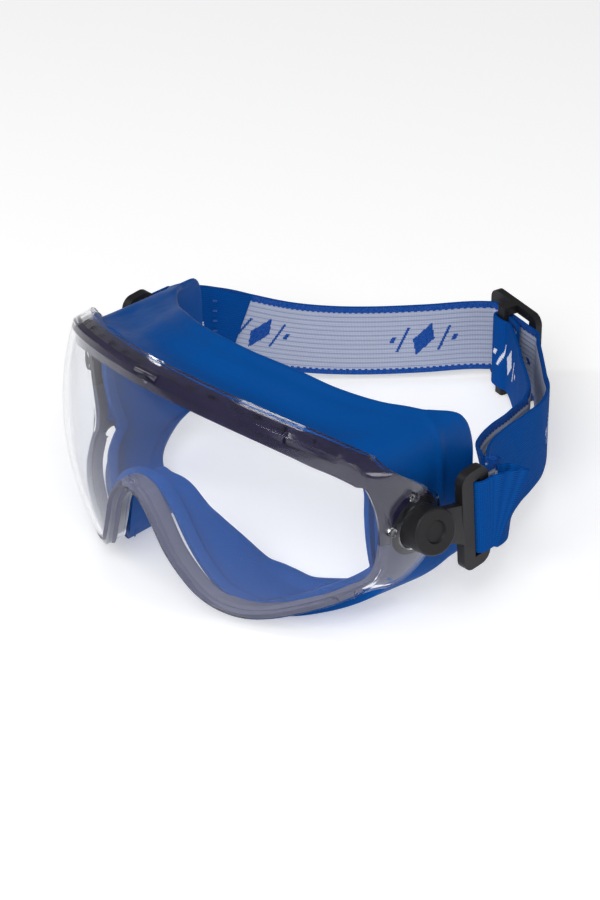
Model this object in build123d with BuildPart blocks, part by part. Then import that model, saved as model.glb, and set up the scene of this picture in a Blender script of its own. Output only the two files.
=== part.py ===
"""Ventilated safety goggles with a clear wrap-around lens, a soft face skirt and an elastic head strap.

The goggles lie as they are set down on a table: the lens looks along -Y, the head strap lies
behind in a loop that stands on its edge, +X is the wearer's left and Z = 0 is the table.
Sizes are in millimetres. Distances "back" are counted from the top front edge of the lens.
"""
import os
from math import cos, radians, sin, sqrt

from build123d import *

os.makedirs("parts", exist_ok=True)

# ---- where the object stands ---------------------------------------------------------------------
DATUM_Y = -93.6         # y of the lens's top front edge, so that the whole object is centred
FAR = 300.0             # long enough to cut right through anything
BELOW, ABOVE = 20.0, 120.0      # heights that cutting blocks start under and end over the goggles

# ---- lens: a clear shell, elliptical in plan, that draws in towards its top and bottom -----------
LENS_HALF_WIDTH = 78.2
LENS_DEPTH = 61.4
LENS_FULL_Z = 47.0      # height where the shell is widest
LENS_AXIS_BACK = 52.6   # middle of the ellipse
WIDTH_BOW = 200.0       # the half width shrinks by (height from the widest)^2 / this
DEPTH_BOW = 227.0
SHELL_LEVELS = (-14, 16, 46, 76, 106)
LENS_WALL = 2.0
RIM_DEPTH = 7.6
BROW_Z = 90.2
NOSE_Z = 46.2
CHEEK_Z = 4.4
PEG_R = 1.7
PEG_HEIGHT = 1.5
PEG_RADIUS = 11.0       # from the hub's axis to the middle of a peg
PEG_ANGLES = (98, 178)
NOSE_BOSS_R = 2.8
NOSE_BOSS_RAISE = 0.5
HUB_HOLE_PLAY = 0.4
WING_ROUND, WING_ROUND_FROM = 2.5, 50.0     # radius of the wing's rear corners and where they begin

# ---- frame behind the lens -----------------------------------------------------------------------
FIT_GAP = 0.25          # play between mouldings that nest in each other
FRAME_WALL = 1.6
FRAME_DEPTH = 8.0
FRAME_LIP = 3.4
FRAME_ROUND, FRAME_ROUND_FROM = 2.0, 52.0
LOWER_FRAME_REAR = 46.0
LUG_OUT, LUG_IN = 4.8, 6.4      # depths of a lug's seat and inner face under the lens's outer surface
LUG_BACK, LUG_Z = 50.0, 44.0
LUG_LENGTH, LUG_HEIGHT = 26.0, 27.0
LUG_FROM_X = 60.0
VENT_HOLE_R = 1.1
VENT_HOLE_PITCH = 8.0
VENT_HOLES_A_SIDE = 7
VENT_HOLE_SHARE = 0.75          # of the frame's depth, from its front
VENT_SHELL_Z = 87.0             # height at which the holes follow the shell's outline
VENT_FROM_Z = 55.0
TAB_WIDTH, TAB_DEPTH, TAB_HEIGHT = 9.0, 1.9, 5.0
TAB_DROP = 3.6                  # from the lens's top edge down to the tab's foot

# ---- face skirt ----------------------------------------------------------------------------------
SKIRT_WALL = 2.4
SKIRT_FRONT, SKIRT_REAR = 0.0, 90.0
BUTT_GAP = 0.1
TAB_NOTCH_GAP = 0.35
TAB_NOTCH_DROP = 4.0
SHANK_HOLE_PLAY = 1.0
SKIRT_ROUND, SKIRT_ROUND_FROM = 8.0, 70.0
COLLAR_WIDTH = 8.0      # from the lens's edge to the window in the skirt's front wall
WINDOW_HALF_WIDTH = 61.0

# ---- strap clips ---------------------------------------------------------------------------------
HUB_X, HUB_BACK, HUB_Z = 86.8, 51.1, 43.1
HUB_AXIS = (0.962, -0.140, 0.235)
HUB_X_DIR = (0.14 * 0.962, 0.98, 0.14 * 0.235)      # square to the axis, pointing back
HUB_R = 8.5
HUB_HEIGHT = 6.0
HUB_ROUND = 0.9
DISH_R = 4.2
DISH_DEPTH = 0.9
DISH_TAPER = 30
BASE_R = 11.0
BASE_GAP = 0.2
BOSS_R = 8.2
PIN_R = 3.5
PIN_REACH = 4.0
SHANK_R = 2.2
SHANK_LENGTH = 7.5
SHANK_CHAMFER = 0.5
RUNNING_GAP = 0.06
BAR_X, BAR_BACK, BAR_Z = 83.8, 72.4, 38.1
BAR_LEAN = 4.5          # degrees, top forward
LOOP_LENGTH = 40.5
LOOP_WIDTH = 13.0
LOOP_THICK = 3.4
LOOP_ROUND = 4.5
SLOT_LENGTH = 31.6
SLOT_WIDTH = 3.4
SLOT_OFFSET = 0.7
NECK_HEIGHT, NECK_FOOT = 12.0, 17.0
NECK_THICK = 3.2
NECK_LEVEL = 0.55       # of the hub's height, down from its face
NECK_BITE = 1.5         # how far the neck runs into the loop

# ---- strap ---------------------------------------------------------------------------------------
STRAP_WIDTH = 30.0
STRAP_THICK = 1.3
STRAP_GAP = 0.3
FOLD_REACH = 36.0       # the fold at a clip ends on a circle of this radius about the hub
FOLD_GAP = 0.5
THREAD = 0.4
THREAD_ROUND = 0.18
STITCH_LENGTH = 2.0
STITCHES = 7
END_STITCH_SHARE = 0.35         # where the threads cross, from one strap station to the next
TAIL_STITCH_SHARE = 0.6
ZONE_OUT, ZONE_IN = -30, 60     # depths of the cylinders that part folds from straps

# ---- slider --------------------------------------------------------------------------------------
SLIDER_X, SLIDER_BACK = -6.5, 190.8     # middle of the strap inside the slider
SLIDER_TURN = -12.0                     # degrees about Z, from +X to the strap's run
SLIDER_LENGTH = 29.0
SLIDER_HEIGHT = 38.0
SLIDER_THICK = 2.8
SLIDER_BAR = 4.6
SLIDER_SLOT = 31.4
SLIDER_BOTTOM_RAIL = 3.2
CROSS_BAR = 2.6
CROSS_BAR_ROUND = 1.0
SLIDER_ROUND = 4.0
SLIDER_REACH = 9.5                      # the strap is straight this far to each side of the slider's middle
STRAP_FOOT = 3.8                        # height of the strap's lower edge in the slider
# The sewn end round the cross bar: distances along and across the strap from the bar's middle.
END_LOOP = (
    (11.0, -2.41), (4.8, -2.1), (1.7, -2.1), (-1.7, -2.1), (-3.1, -1.26), (-3.6, 0.0), (-3.1, 1.26),
    (-1.7, 2.1), (1.7, 2.1), (4.8, 1.5), (11.0, -0.59),
)

# Front outlines of the lens and of the vent frame's lower edge, from the middle outwards and back in.
LENS_TOP = ((0, BROW_Z), (30, 87.6), (53, 81.0), (66, 73.6), (76, 64.6), (86, 52.0))
LENS_LOW = (
    (86, 19.0), (70, 16.6), (56, 10.8), (37, CHEEK_Z), (24, 8.6), (14, 24.0), (7.2, 39.0), (0, NOSE_Z),
)
BAND_LOW = ((90, 31.0), (76.4, 33.0), (75.6, 49.0), (66, 63.5), (53, 71.5), (30, 78.5), (0, 81.5))
# Side outlines: distance back and height.
WING_SIDE = (
    (-20, -12), (46.5, -12), (46.5, 16.0), (57.0, 21.5), (62.8, 28.0), (62.4, 48.0), (54.0, 57.5),
    (39.0, 68.5), (28.0, 110), (-20, 110),
)
FRAME_SIDE = (
    (-20, -12), (40, -12), (42, 20), (50, 31), (61.4, 31), (61.4, 48.0), (53.0, 56.5), (38.0, 67.5),
    (27.0, 110), (-20, 110),
)
SKIRT_SIDE = ((-20, 0), (54, 0), (56, 3.5), (85, 7.0), (87, 67.0), (66, 110), (-20, 110))
# Skirt sections seen from the front: brow, temple and cheek points, at its front and at its rear.
SKIRT_TOP_FRONT = ((0, 88.4), (30, 85.8), (52, 79.6), (65, 70.4), (71.0, 58.0))
SKIRT_TOP_REAR = ((0, 88.9), (30, 81.4), (48, 72.4), (62.5, 69.6), (69.0, 58.0))
SKIRT_LOW_FRONT = (
    (71.0, 27.0), (66, 15.5), (54, 8.0), (37, 0.6), (25, 5.5), (15.5, 23.0), (9.5, 38.0), (0, 44.4),
)
SKIRT_LOW_REAR = (
    (68.5, 16.0), (66, 4.6), (54, 0.0), (40, -1.8), (29, 3.0), (20, 19.0), (13, 33.0), (0, 42.0),
)
# The wearer's face seen from above, as x and distance back: brow and temples, then nose and cheeks.
BROW_FACE = ((0, 34.5), (30, 42.8), (42, 50.6), (52.5, 60.0), (60, 69.0), (64, 78.0), (66.0, 95.0))
CHEEK_FACE = (
    (0, 11.5), (7, 12.3), (13, 15.2), (18.2, 22.8), (25.4, 32.6), (38, 41.5), (50, 47.3), (59.8, 54.0),
    (65.7, 67.0), (68.5, 95.0),
)
CHEEK_TOP_Z = 50.0      # the face's cheek outline holds below this height

# The strap's run, one station a line: x, distance back, height of the lower edge and lean of the top
# edge towards the head in degrees.
NEAR_RUN = (
    (86.5, 75.5, 23.2, 3), (87.0, 82.0, 22.8, 7), (85.4, 88.0, 22.0, 9), (81.0, 94.0, 21.0, 10),
    (73.5, 103.6, 18.9, 10), (67.3, 115.0, 16.7, 8), (62.7, 126.0, 15.0, 5), (56.6, 138.4, 12.8, 2),
    (47.3, 151.2, 10.0, 0), (37.6, 160.8, 8.0, 0), (25.6, 172.3, 6.0, 0), (16.6, 180.7, 4.7, 0),
    (10.0, 187.0, STRAP_FOOT, 0),
)
FAR_RUN = (
    (-19.0, 191.0, STRAP_FOOT, 0), (-25.0, 185.0, 3.6, 0), (-35.0, 172.5, 3.2, 0),
    (-49.0, 156.5, 3.0, 0), (-62.0, 142.0, 4.0, 0), (-74.0, 127.5, 7.0, 0), (-82.5, 113.5, 12.0, 0),
    (-86.5, 101.0, 17.0, 0), (-87.6, 90.0, 21.0, 0), (-87.0, 82.0, 22.8, 0), (-86.5, 75.5, 23.2, 0),
)
RETURN_RUN = (
    (81.1, 77.0, 23.2, 3), (80.6, 84.0, 22.6, 7), (77.5, 91.0, 21.6, 10), (70.4, 99.8, 19.6, 10),
    (63.6, 111.0, 17.2, 8), (58.2, 123.0, 15.0, 5), (51.4, 135.0, 12.6, 2), (42.4, 146.5, 9.8, 0),
    (32.4, 156.2, 7.8, 0), (22.5, 164.6, 6.2, 0), (14.0, 172.4, 4.8, 0), (9.5, 179.5, STRAP_FOOT, 0),
)
TAIL_RUN = (
    (-81.1, 77.0, 23.2, 0), (-82.3, 84.0, 22.6, 0), (-84.6, 90.0, 21.0, 0), (-84.4, 100.4, 17.0, 0),
    (-80.9, 112.4, 12.0, 0),
)
# The fold round a clip's rear bar: x from the bar's middle, distance back from the slot's middle.
FOLD = (
    (3.0, 18.0), (2.8, 6.0), (2.75, 2.2), (1.9, 0.3), (0.0, -0.4), (-1.9, 0.3), (-2.75, 2.2),
    (-2.8, 6.0), (-3.5, 18.0),
)


def back(distance):
    """The y of a point this far behind the lens's top front edge."""
    return DATUM_Y + distance


def save(piece, label):
    piece.label = label
    export_step(piece, f"parts/{label}.step")


# ---- the shell that the lens and the frame follow ------------------------------------------------
def shell_solid(inset, shift=0.0):
    """The space inside the lens's outer surface, pulled in by inset and moved back by shift."""
    with BuildPart() as solid:
        for level in SHELL_LEVELS:
            bow = (level - LENS_FULL_Z) ** 2
            with BuildSketch(Plane(origin=(0, back(LENS_AXIS_BACK + shift), level))):
                Ellipse(
                    LENS_DEPTH - bow / DEPTH_BOW - inset, LENS_HALF_WIDTH - bow / WIDTH_BOW - inset, rotation=90)
        loft()
    return solid.part


def surface_back(x, z):
    """How far back the lens's outer surface lies at this x and height."""
    bow = (z - LENS_FULL_Z) ** 2
    half_width = LENS_HALF_WIDTH - bow / WIDTH_BOW
    depth = LENS_DEPTH - bow / DEPTH_BOW
    return LENS_AXIS_BACK - depth * sqrt(1 - (x / half_width) ** 2)


def inset_edge(points, tangents, inset):
    """A spline through these points, each moved this far to the right of the line through them all."""
    edge = Spline(*points, tangents=tangents, mode=Mode.PRIVATE)
    moved = []
    for x, z in points:
        run = edge % edge.param_at_point(Vector(x, z))
        moved.append(Vector(x, z) + Vector(run.Y, -run.X) * inset)
    return Spline(*moved, tangents=tangents)


def front_outline(top_points, low_points, inset, outer_slope):
    """The edges of a front outline, pulled in by inset, each half running from the brow to the nose."""
    top = inset_edge(top_points, ((1, 0), outer_slope), inset)
    low = inset_edge(low_points, ((-outer_slope[0], outer_slope[1]), (-1, 0)), inset)
    Line(top @ 1, low @ 0)
    mirror(about=Plane.YZ)


def lens_prism(inset=0.0):
    """A prism along Y with the lens's front outline."""
    with BuildPart() as prism:
        with BuildSketch(Plane.XZ):
            with BuildLine():
                front_outline(LENS_TOP, LENS_LOW, inset, (1, -1))
            make_face()
        extrude(amount=FAR, both=True)
    return prism.part


def side_prism(points, corner_r, round_from):
    """A prism along X whose outline is given as distance back and height, rounded behind round_from."""
    with BuildPart() as prism:
        with BuildSketch(Plane.YZ) as outline:
            with BuildLine():
                Polyline(*[(back(b), z) for b, z in points], close=True)
            make_face()
            rear = outline.vertices().filter_by(lambda v: v.X > back(round_from) and v.Y < BROW_Z)
            fillet(rear, radius=corner_r)
        extrude(amount=FAR, both=True)
    return prism.part


wing_side = side_prism(WING_SIDE, WING_ROUND, WING_ROUND_FROM)
shell_0 = shell_solid(0)
shell_lens_in = shell_solid(LENS_WALL)
shell_frame = shell_solid(LENS_WALL + FIT_GAP)
shell_frame_in = shell_solid(LENS_WALL + FIT_GAP + FRAME_WALL)
front_full = lens_prism()
front_frame = lens_prism(LENS_WALL + FIT_GAP)

# ---- planes of the two strap clips ---------------------------------------------------------------
HUB = Plane(origin=(HUB_X, back(HUB_BACK), HUB_Z), x_dir=HUB_X_DIR, z_dir=HUB_AXIS)
BAR = Plane(
    origin=(BAR_X, back(BAR_BACK), BAR_Z),
    x_dir=(0, cos(radians(BAR_LEAN)), sin(radians(BAR_LEAN))), z_dir=(1, 0, 0))


def hub_cylinder(radius, outer, inner):
    """A cylinder about the left hub's axis between two depths below the hub's face."""
    with BuildPart() as cylinder:
        with BuildSketch(HUB.offset(-inner)):
            Circle(radius)
        extrude(amount=inner - outer)
    return cylinder.part


def both_sides(piece):
    return (("left", piece), ("right", piece.mirror(Plane.YZ)))


def peg(radius, angle, length):
    """A clear peg that stands on the lens's left wing, at this angle about the hub's axis."""
    foot = HUB * Pos(PEG_RADIUS * cos(radians(angle)), PEG_RADIUS * sin(radians(angle)), 0)
    with BuildPart() as stud:
        with BuildSketch(Plane(foot)):
            Circle(radius)
        extrude(amount=-length)
        add(shell_lens_in, mode=Mode.SUBTRACT)
        add(shell_solid(-PEG_HEIGHT), mode=Mode.INTERSECT)
    return stud.part


# ---- lens ----------------------------------------------------------------------------------------
with BuildPart() as lens_rim:
    add(front_full)
    add(lens_prism(LENS_WALL), mode=Mode.SUBTRACT)
    add(shell_0, mode=Mode.INTERSECT)
    add(shell_solid(0, RIM_DEPTH), mode=Mode.SUBTRACT)

with BuildPart() as nose_boss:
    with BuildSketch(Plane.XZ.offset(-back(0))):
        with Locations((0, NOSE_Z + NOSE_BOSS_R + NOSE_BOSS_RAISE)):
            Circle(NOSE_BOSS_R)
    extrude(amount=2 * RIM_DEPTH, both=True)
    add(shell_solid(-PEG_HEIGHT), mode=Mode.INTERSECT)
    add(shell_lens_in, mode=Mode.SUBTRACT)

hub_hole = hub_cylinder(HUB_R + HUB_HOLE_PLAY, -FIT_GAP, 2 * BASE_R)
with BuildPart() as lens:
    add(front_full)
    add(shell_0, mode=Mode.INTERSECT)
    add(shell_lens_in, mode=Mode.SUBTRACT)
    add(lens_rim.part)
    add(wing_side, mode=Mode.INTERSECT)
    for _, hole in both_sides(hub_hole):
        add(hole, mode=Mode.SUBTRACT)
    for angle in PEG_ANGLES:
        for _, stud in both_sides(peg(PEG_R, angle, 2 * PEG_RADIUS)):
            add(stud)
    add(nose_boss.part)
save(lens.part, "lens")

# ---- frame: a ring behind the lens, the vent frame over the eyes and the lower frame under them --
with BuildPart() as band_region:
    with BuildSketch(Plane.XZ):
        with BuildLine():
            side = Polyline(*BAND_LOW[:3])
            low = Spline(*BAND_LOW[2:], tangents=((-0.3, 1), (-1, 0)))
            Polyline(side @ 0, (BAND_LOW[0][0], ABOVE), (0, ABOVE))
            mirror(about=Plane.YZ)
        make_face()
    extrude(amount=FAR, both=True)

frame_side = side_prism(FRAME_SIDE, FRAME_ROUND, FRAME_ROUND_FROM)
with BuildPart() as ring_wall:
    add(front_frame)
    add(lens_prism(LENS_WALL + FIT_GAP + FRAME_WALL), mode=Mode.SUBTRACT)
    add(shell_frame, mode=Mode.INTERSECT)
    add(shell_solid(LENS_WALL + FIT_GAP, FRAME_DEPTH), mode=Mode.SUBTRACT)

with BuildPart() as frame_lugs:
    with BuildSketch(Plane.YZ.offset(LUG_FROM_X)):
        with Locations((back(LUG_BACK), LUG_Z)):
            Rectangle(LUG_LENGTH, LUG_HEIGHT)
    extrude(amount=LUG_FROM_X)
    mirror(about=Plane.YZ)
    add(shell_frame, mode=Mode.INTERSECT)
    add(shell_solid(LUG_IN), mode=Mode.SUBTRACT)

with BuildPart() as base_seat:
    add(hub_cylinder(BASE_R + FIT_GAP, 0, 2 * BASE_R))
    add(shell_solid(LUG_OUT), mode=Mode.SUBTRACT)
shank_hole = hub_cylinder(SHANK_R, 0, 2 * BASE_R)
vent_holes = []
for side in (-1, 1):
    for number in range(1, VENT_HOLES_A_SIDE + 1):
        x = side * VENT_HOLE_PITCH * number
        vent_holes.append((x, back(surface_back(x, VENT_SHELL_Z) + FRAME_DEPTH * VENT_HOLE_SHARE)))

with BuildPart() as vent_frame:
    add(front_frame)
    add(shell_frame, mode=Mode.INTERSECT)
    add(shell_frame_in, mode=Mode.SUBTRACT)
    add(ring_wall.part)
    add(band_region.part, mode=Mode.INTERSECT)
    add(frame_lugs.part)
    add(frame_side, mode=Mode.INTERSECT)
    for cutter in (base_seat.part, shank_hole):
        for _, hole in both_sides(cutter):
            add(hole, mode=Mode.SUBTRACT)
    with BuildSketch(Plane.XY.offset(VENT_FROM_Z)):
        with Locations(*vent_holes):
            Circle(VENT_HOLE_R)
    extrude(amount=ABOVE - VENT_FROM_Z, mode=Mode.SUBTRACT)
    with BuildSketch(Plane.XY.offset(BROW_Z - TAB_DROP)):
        with Locations((0, back(FRAME_DEPTH + TAB_DEPTH / 2))):
            Rectangle(TAB_WIDTH, TAB_DEPTH)
    extrude(amount=TAB_HEIGHT)
save(vent_frame.part, "vent_frame")

with BuildPart() as lower_frame:
    add(front_frame)
    add(lens_prism(LENS_WALL + FIT_GAP + FRAME_LIP), mode=Mode.SUBTRACT)
    add(shell_frame, mode=Mode.INTERSECT)
    add(shell_frame_in, mode=Mode.SUBTRACT)
    add(ring_wall.part)
    add(band_region.part, mode=Mode.SUBTRACT)
    with BuildSketch(Plane.YZ):
        with Locations((back(LOWER_FRAME_REAR), LENS_FULL_Z)):
            Rectangle(FAR, FAR, align=(Align.MAX, Align.CENTER))
    extrude(amount=FAR, both=True, mode=Mode.INTERSECT)
save(lower_frame.part, "lower_frame")

# ---- face skirt ----------------------------------------------------------------------------------
def skirt_section(distance, top_points, low_points, inset):
    """One closed outline of the skirt, in a plane across the goggles."""
    with BuildSketch(Plane.XZ.offset(-back(distance))) as section:
        with BuildLine():
            front_outline(top_points, low_points, inset, (0, -1))
        make_face()
    return section.sketch


def skirt_body(inset):
    with BuildPart() as body:
        add(skirt_section(SKIRT_FRONT, SKIRT_TOP_FRONT, SKIRT_LOW_FRONT, inset))
        add(skirt_section(SKIRT_REAR, SKIRT_TOP_REAR, SKIRT_LOW_REAR, inset))
        loft(ruled=True)
    return body.part


def face_prism(outline, last_direction, top):
    """Everything behind a face outline, from below the goggles up to this height."""
    with BuildPart() as prism:
        with BuildSketch(Plane.XY.offset(-BELOW)):
            with BuildLine():
                edge = Spline(*[(x, back(b)) for x, b in outline], tangents=((1, 0), last_direction))
                Polyline(edge @ 1, (edge @ 1) + (0, FAR), (0, (edge @ 1).Y + FAR), edge @ 0)
            make_face()
            mirror(about=Plane.YZ)
        extrude(amount=BELOW + top)
    return prism.part


with BuildPart() as skirt_hollow:
    add(skirt_body(SKIRT_WALL))
    add(shell_solid(LENS_WALL + FIT_GAP, FRAME_DEPTH + BUTT_GAP + SKIRT_WALL), mode=Mode.INTERSECT)
    add(shell_solid(LUG_IN + BUTT_GAP + SKIRT_WALL), mode=Mode.INTERSECT)

with BuildPart() as window:
    add(lens_prism(COLLAR_WIDTH))
    with BuildSketch(Plane.XZ):
        Rectangle(2 * WINDOW_HALF_WIDTH, FAR)
    extrude(amount=FAR, both=True, mode=Mode.INTERSECT)

with BuildPart() as face_skirt:
    add(skirt_body(0))
    add(shell_solid(LENS_WALL + FIT_GAP, FRAME_DEPTH + BUTT_GAP), mode=Mode.INTERSECT)
    add(shell_solid(LUG_IN + BUTT_GAP), mode=Mode.INTERSECT)
    add(skirt_hollow.part, mode=Mode.SUBTRACT)
    add(window.part, mode=Mode.SUBTRACT)
    add(face_prism(BROW_FACE, (0, 1), ABOVE), mode=Mode.SUBTRACT)
    add(face_prism(CHEEK_FACE, (0, 1), CHEEK_TOP_Z), mode=Mode.SUBTRACT)
    add(side_prism(SKIRT_SIDE, SKIRT_ROUND, SKIRT_ROUND_FROM), mode=Mode.INTERSECT)
    for _, hole in both_sides(hub_cylinder(SHANK_R + SHANK_HOLE_PLAY, 0, 2 * BASE_R)):
        add(hole, mode=Mode.SUBTRACT)
    with BuildSketch(Plane.XY.offset(BROW_Z - TAB_NOTCH_DROP)):
        with Locations((0, back(FRAME_DEPTH + TAB_DEPTH / 2))):
            Rectangle(TAB_WIDTH + 2 * TAB_NOTCH_GAP, TAB_DEPTH + 2 * TAB_NOTCH_GAP)
    extrude(amount=2 * TAB_HEIGHT, mode=Mode.SUBTRACT)
save(face_skirt.part, "face_skirt")

# ---- pivots: a base under each wing, and the pin that holds the clip -----------------------------
base_top = HUB_HEIGHT + BASE_GAP
with BuildPart() as pivot_base:
    add(hub_cylinder(BASE_R, base_top, 2 * BASE_R))
    add(shell_frame, mode=Mode.INTERSECT)
    add(hub_cylinder(BOSS_R, base_top, 2 * BASE_R))
    add(shell_solid(LUG_OUT), mode=Mode.SUBTRACT)
    add(shank_hole, mode=Mode.SUBTRACT)

with BuildPart() as pivot_pin:
    add(hub_cylinder(PIN_R, base_top - PIN_REACH, base_top))
    add(hub_cylinder(SHANK_R, base_top, base_top + SHANK_LENGTH))
    chamfer(pivot_pin.faces().sort_by(Axis(HUB.origin, HUB.z_dir))[-1].edges(), length=SHANK_CHAMFER)

# ---- clips ---------------------------------------------------------------------------------------
neck_root = Plane(HUB * Pos(HUB_R / 2, 0, -HUB_HEIGHT * NECK_LEVEL))
neck_tip = Plane(BAR * Pos(NECK_BITE - LOOP_WIDTH / 2, 0, 0))
with BuildPart() as clip:
    add(hub_cylinder(HUB_R, 0, HUB_HEIGHT))
    fillet(clip.faces().sort_by(Axis(HUB.origin, HUB.z_dir))[-1].edges(), radius=HUB_ROUND)
    with BuildSketch(HUB):
        Circle(DISH_R)
    extrude(amount=-DISH_DEPTH, mode=Mode.SUBTRACT, taper=DISH_TAPER)
    with BuildSketch(Plane(origin=neck_root.origin, x_dir=neck_root.z_dir, z_dir=neck_root.x_dir)):
        Rectangle(NECK_THICK, NECK_HEIGHT)
    with BuildSketch(Plane(origin=neck_tip.origin, x_dir=neck_tip.z_dir, z_dir=neck_tip.x_dir)):
        Rectangle(NECK_THICK, NECK_FOOT)
    loft(ruled=True)
    with BuildSketch(BAR.offset(-LOOP_THICK / 2)):
        RectangleRounded(LOOP_WIDTH, LOOP_LENGTH, radius=LOOP_ROUND)
        with Locations((SLOT_OFFSET, 0)):
            Rectangle(SLOT_WIDTH, SLOT_LENGTH, mode=Mode.SUBTRACT)
    extrude(amount=LOOP_THICK)
    with BuildSketch(HUB.offset(-HUB_HEIGHT)):
        Circle(PIN_R + RUNNING_GAP)
    extrude(amount=PIN_REACH - BASE_GAP + RUNNING_GAP, mode=Mode.SUBTRACT)

for name, part in (("pivot_base", pivot_base.part), ("pivot_pin", pivot_pin.part), ("clip", clip.part)):
    for side, piece in both_sides(part):
        save(piece, f"{name}_{side}")


# ---- strap ---------------------------------------------------------------------------------------
def ribbon(stations, thickness=STRAP_THICK):
    """A flat band on its edge through stations of x, y, height of the lower edge and lean in degrees."""
    with BuildPart() as band:
        for number, (x, y, low, lean) in enumerate(stations):
            ahead = stations[min(number + 1, len(stations) - 1)]
            behind = stations[max(number - 1, 0)]
            along = Vector(ahead[0] - behind[0], ahead[1] - behind[1], 0).normalized()
            across = Vector(-along.Y, along.X, 0)
            up = Vector(0, 0, cos(radians(lean))) + across * sin(radians(lean))
            with BuildSketch(Plane(origin=Vector(x, y, low) + up * (STRAP_WIDTH / 2), x_dir=up, z_dir=along)):
                Rectangle(STRAP_WIDTH, thickness)
        loft(ruled=True)
    return band.part


def placed(stations):
    return [(x, back(b), low, lean) for x, b, low, lean in stations]


fold_zone = hub_cylinder(FOLD_REACH, ZONE_OUT, ZONE_IN)
run_zone = hub_cylinder(FOLD_REACH + FOLD_GAP, ZONE_OUT, ZONE_IN)
fold_foot = Vector(BAR_X, back(BAR_BACK) + SLOT_OFFSET, BAR_Z - STRAP_WIDTH / 2)
fold_line = [(fold_foot.X + x, fold_foot.Y + b, fold_foot.Z, 0) for x, b in FOLD]
fold = ribbon(fold_line).rotate(Axis(BAR.origin, (1, 0, 0)), BAR_LEAN)
with BuildPart() as strap_fold:
    add(fold)
    add(fold_zone, mode=Mode.INTERSECT)
for side, piece in both_sides(strap_fold.part):
    save(piece, f"strap_fold_{side}")

turn = radians(SLIDER_TURN)
along_slider = Vector(cos(turn), sin(turn), 0)
across_slider = Vector(-sin(turn), cos(turn), 0)
slider_middle = Vector(SLIDER_X, back(SLIDER_BACK), 0)
straight = [slider_middle + along_slider * reach for reach in (SLIDER_REACH, 0.0, -SLIDER_REACH)]
slider_run = [(point.X, point.Y, STRAP_FOOT, 0) for point in straight]
with BuildPart() as strap_main:
    add(ribbon(placed(NEAR_RUN) + slider_run + placed(FAR_RUN)))
    for _, zone in both_sides(run_zone):
        add(zone, mode=Mode.SUBTRACT)
save(strap_main.part, "strap_main")

with BuildPart() as strap_return:
    add(ribbon(placed(RETURN_RUN)))
    add(run_zone, mode=Mode.SUBTRACT)
save(strap_return.part, "strap_return")

with BuildPart() as strap_tail:
    add(ribbon(placed(TAIL_RUN)))
    add(run_zone.mirror(Plane.YZ), mode=Mode.SUBTRACT)
save(strap_tail.part, "strap_tail")

# ---- slider --------------------------------------------------------------------------------------
frame_offset = STRAP_THICK / 2 + STRAP_GAP + SLIDER_THICK / 2
bar_offset = 1.5 * STRAP_THICK + 2 * STRAP_GAP + CROSS_BAR / 2
slider_plane = Plane(
    origin=slider_middle + across_slider * frame_offset + Vector(0, 0, SLIDER_HEIGHT / 2),
    x_dir=along_slider, z_dir=across_slider * -1)
top_rail = SLIDER_HEIGHT - SLIDER_BOTTOM_RAIL - SLIDER_SLOT
slot_middle = SLIDER_BOTTOM_RAIL + SLIDER_SLOT / 2 - SLIDER_HEIGHT / 2
with BuildPart() as slider:
    with BuildSketch(slider_plane.offset(-SLIDER_THICK / 2)):
        RectangleRounded(SLIDER_LENGTH, SLIDER_HEIGHT, radius=SLIDER_ROUND)
        with Locations((0, slot_middle)):
            Rectangle(SLIDER_LENGTH - 2 * SLIDER_BAR, SLIDER_SLOT, mode=Mode.SUBTRACT)
    extrude(amount=SLIDER_THICK)
    for height, tall in ((SLIDER_BOTTOM_RAIL / 2, SLIDER_BOTTOM_RAIL), (SLIDER_HEIGHT - top_rail / 2, top_rail)):
        arm = slider_middle + across_slider * ((frame_offset - bar_offset) / 2) + Vector(0, 0, height)
        with BuildSketch(Plane(origin=arm, x_dir=along_slider, z_dir=(0, 0, 1))):
            Rectangle(SLIDER_BAR, frame_offset + bar_offset + CROSS_BAR / 2)
        extrude(amount=tall / 2, both=True)
    bar_foot = slider_middle - across_slider * bar_offset
    with BuildSketch(Plane(origin=bar_foot, x_dir=along_slider, z_dir=(0, 0, 1))):
        RectangleRounded(SLIDER_BAR, CROSS_BAR, radius=CROSS_BAR_ROUND)
    extrude(amount=SLIDER_HEIGHT)
save(slider.part, "slider")


def beside_bar(along, across):
    """A station of the sewn end, counted from the middle of the slider's cross bar."""
    point = bar_foot + along_slider * along + across_slider * across
    return (point.X, point.Y, STRAP_FOOT, 0)


end_line = [beside_bar(along, across) for along, across in END_LOOP]
with BuildPart() as strap_end_loop:
    add(ribbon(end_line))
save(strap_end_loop.part, "strap_end_loop")

# ---- stitching: one row of threads on the sewn end, and one on the far tail ----------------------
def thread_row(start, along, outward):
    """A column of short threads over the height of the strap, at this foot point on its face."""
    with BuildPart() as row:
        for number in range(STITCHES):
            height = STRAP_WIDTH * (number + 0.5) / STITCHES
            middle = start + Vector(0, 0, height) + outward * (THREAD / 2)
            with BuildSketch(Plane(origin=middle - along * (STITCH_LENGTH / 2), x_dir=outward, z_dir=along)):
                RectangleRounded(THREAD, 2 * THREAD, radius=THREAD_ROUND)
            extrude(amount=STITCH_LENGTH)
    return row.part


def face_point(station, next_station, share, outward_sign):
    """A point on a band's face between two stations, with the directions along and out of the face."""
    first, second = Vector(*station[:3]), Vector(*next_station[:3])
    along = (second - first).normalized()
    outward = Vector(-along.Y, along.X, 0).normalized() * outward_sign
    return first + (second - first) * share + outward * (STRAP_THICK / 2), along, outward


save(thread_row(*face_point(end_line[0], end_line[1], END_STITCH_SHARE, -1)), "end_stitching")
tail_line = placed(TAIL_RUN)
save(thread_row(*face_point(tail_line[3], tail_line[4], TAIL_STITCH_SHARE, -1)), "tail_stitching")
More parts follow.
